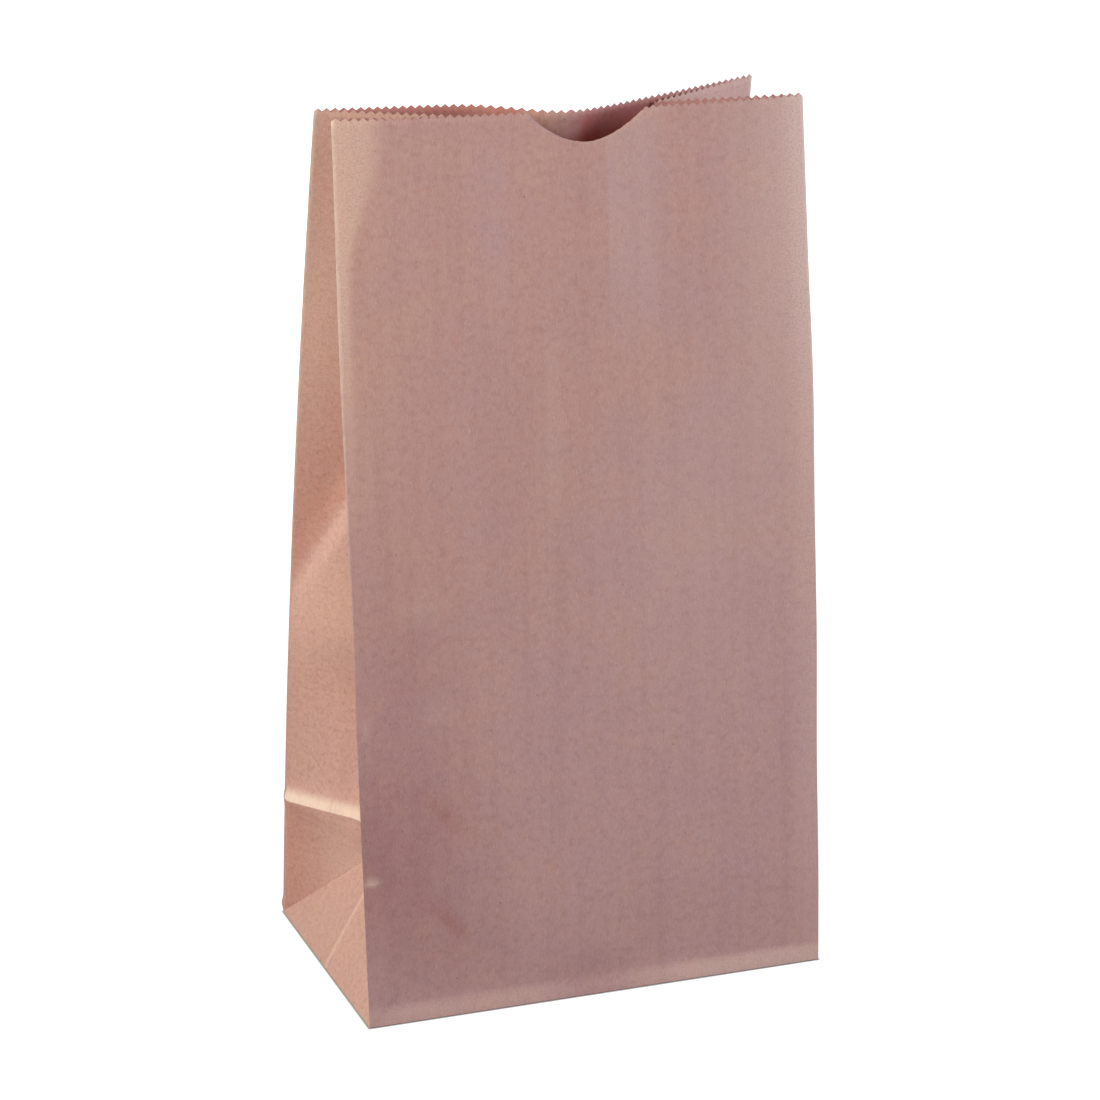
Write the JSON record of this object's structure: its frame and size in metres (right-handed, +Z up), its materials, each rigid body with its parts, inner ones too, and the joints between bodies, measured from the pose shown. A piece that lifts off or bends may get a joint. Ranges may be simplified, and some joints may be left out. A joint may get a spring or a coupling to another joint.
{
  "type": "paper lunch bag",
  "caption": "Brown kraft paper bag with a flat folded bottom, a gusset down each side, a sawtooth mouth and a thumb notch in the front.",
  "frame": {"origin": "on the ground, under the middle of the bag's flat bottom", "axes": "+Z up along the bag, the front with the thumb notch faces -Y, +X to the right as the front is seen"},
  "size_m": [0.1549, 0.0923, 0.2801],
  "materials": {
    "kraft_paper": "matt uncoated brown kraft paper"
  },
  "bodies": {
    "root": {"paper_bag": "kraft_paper"}
  },
  "joints": []
}
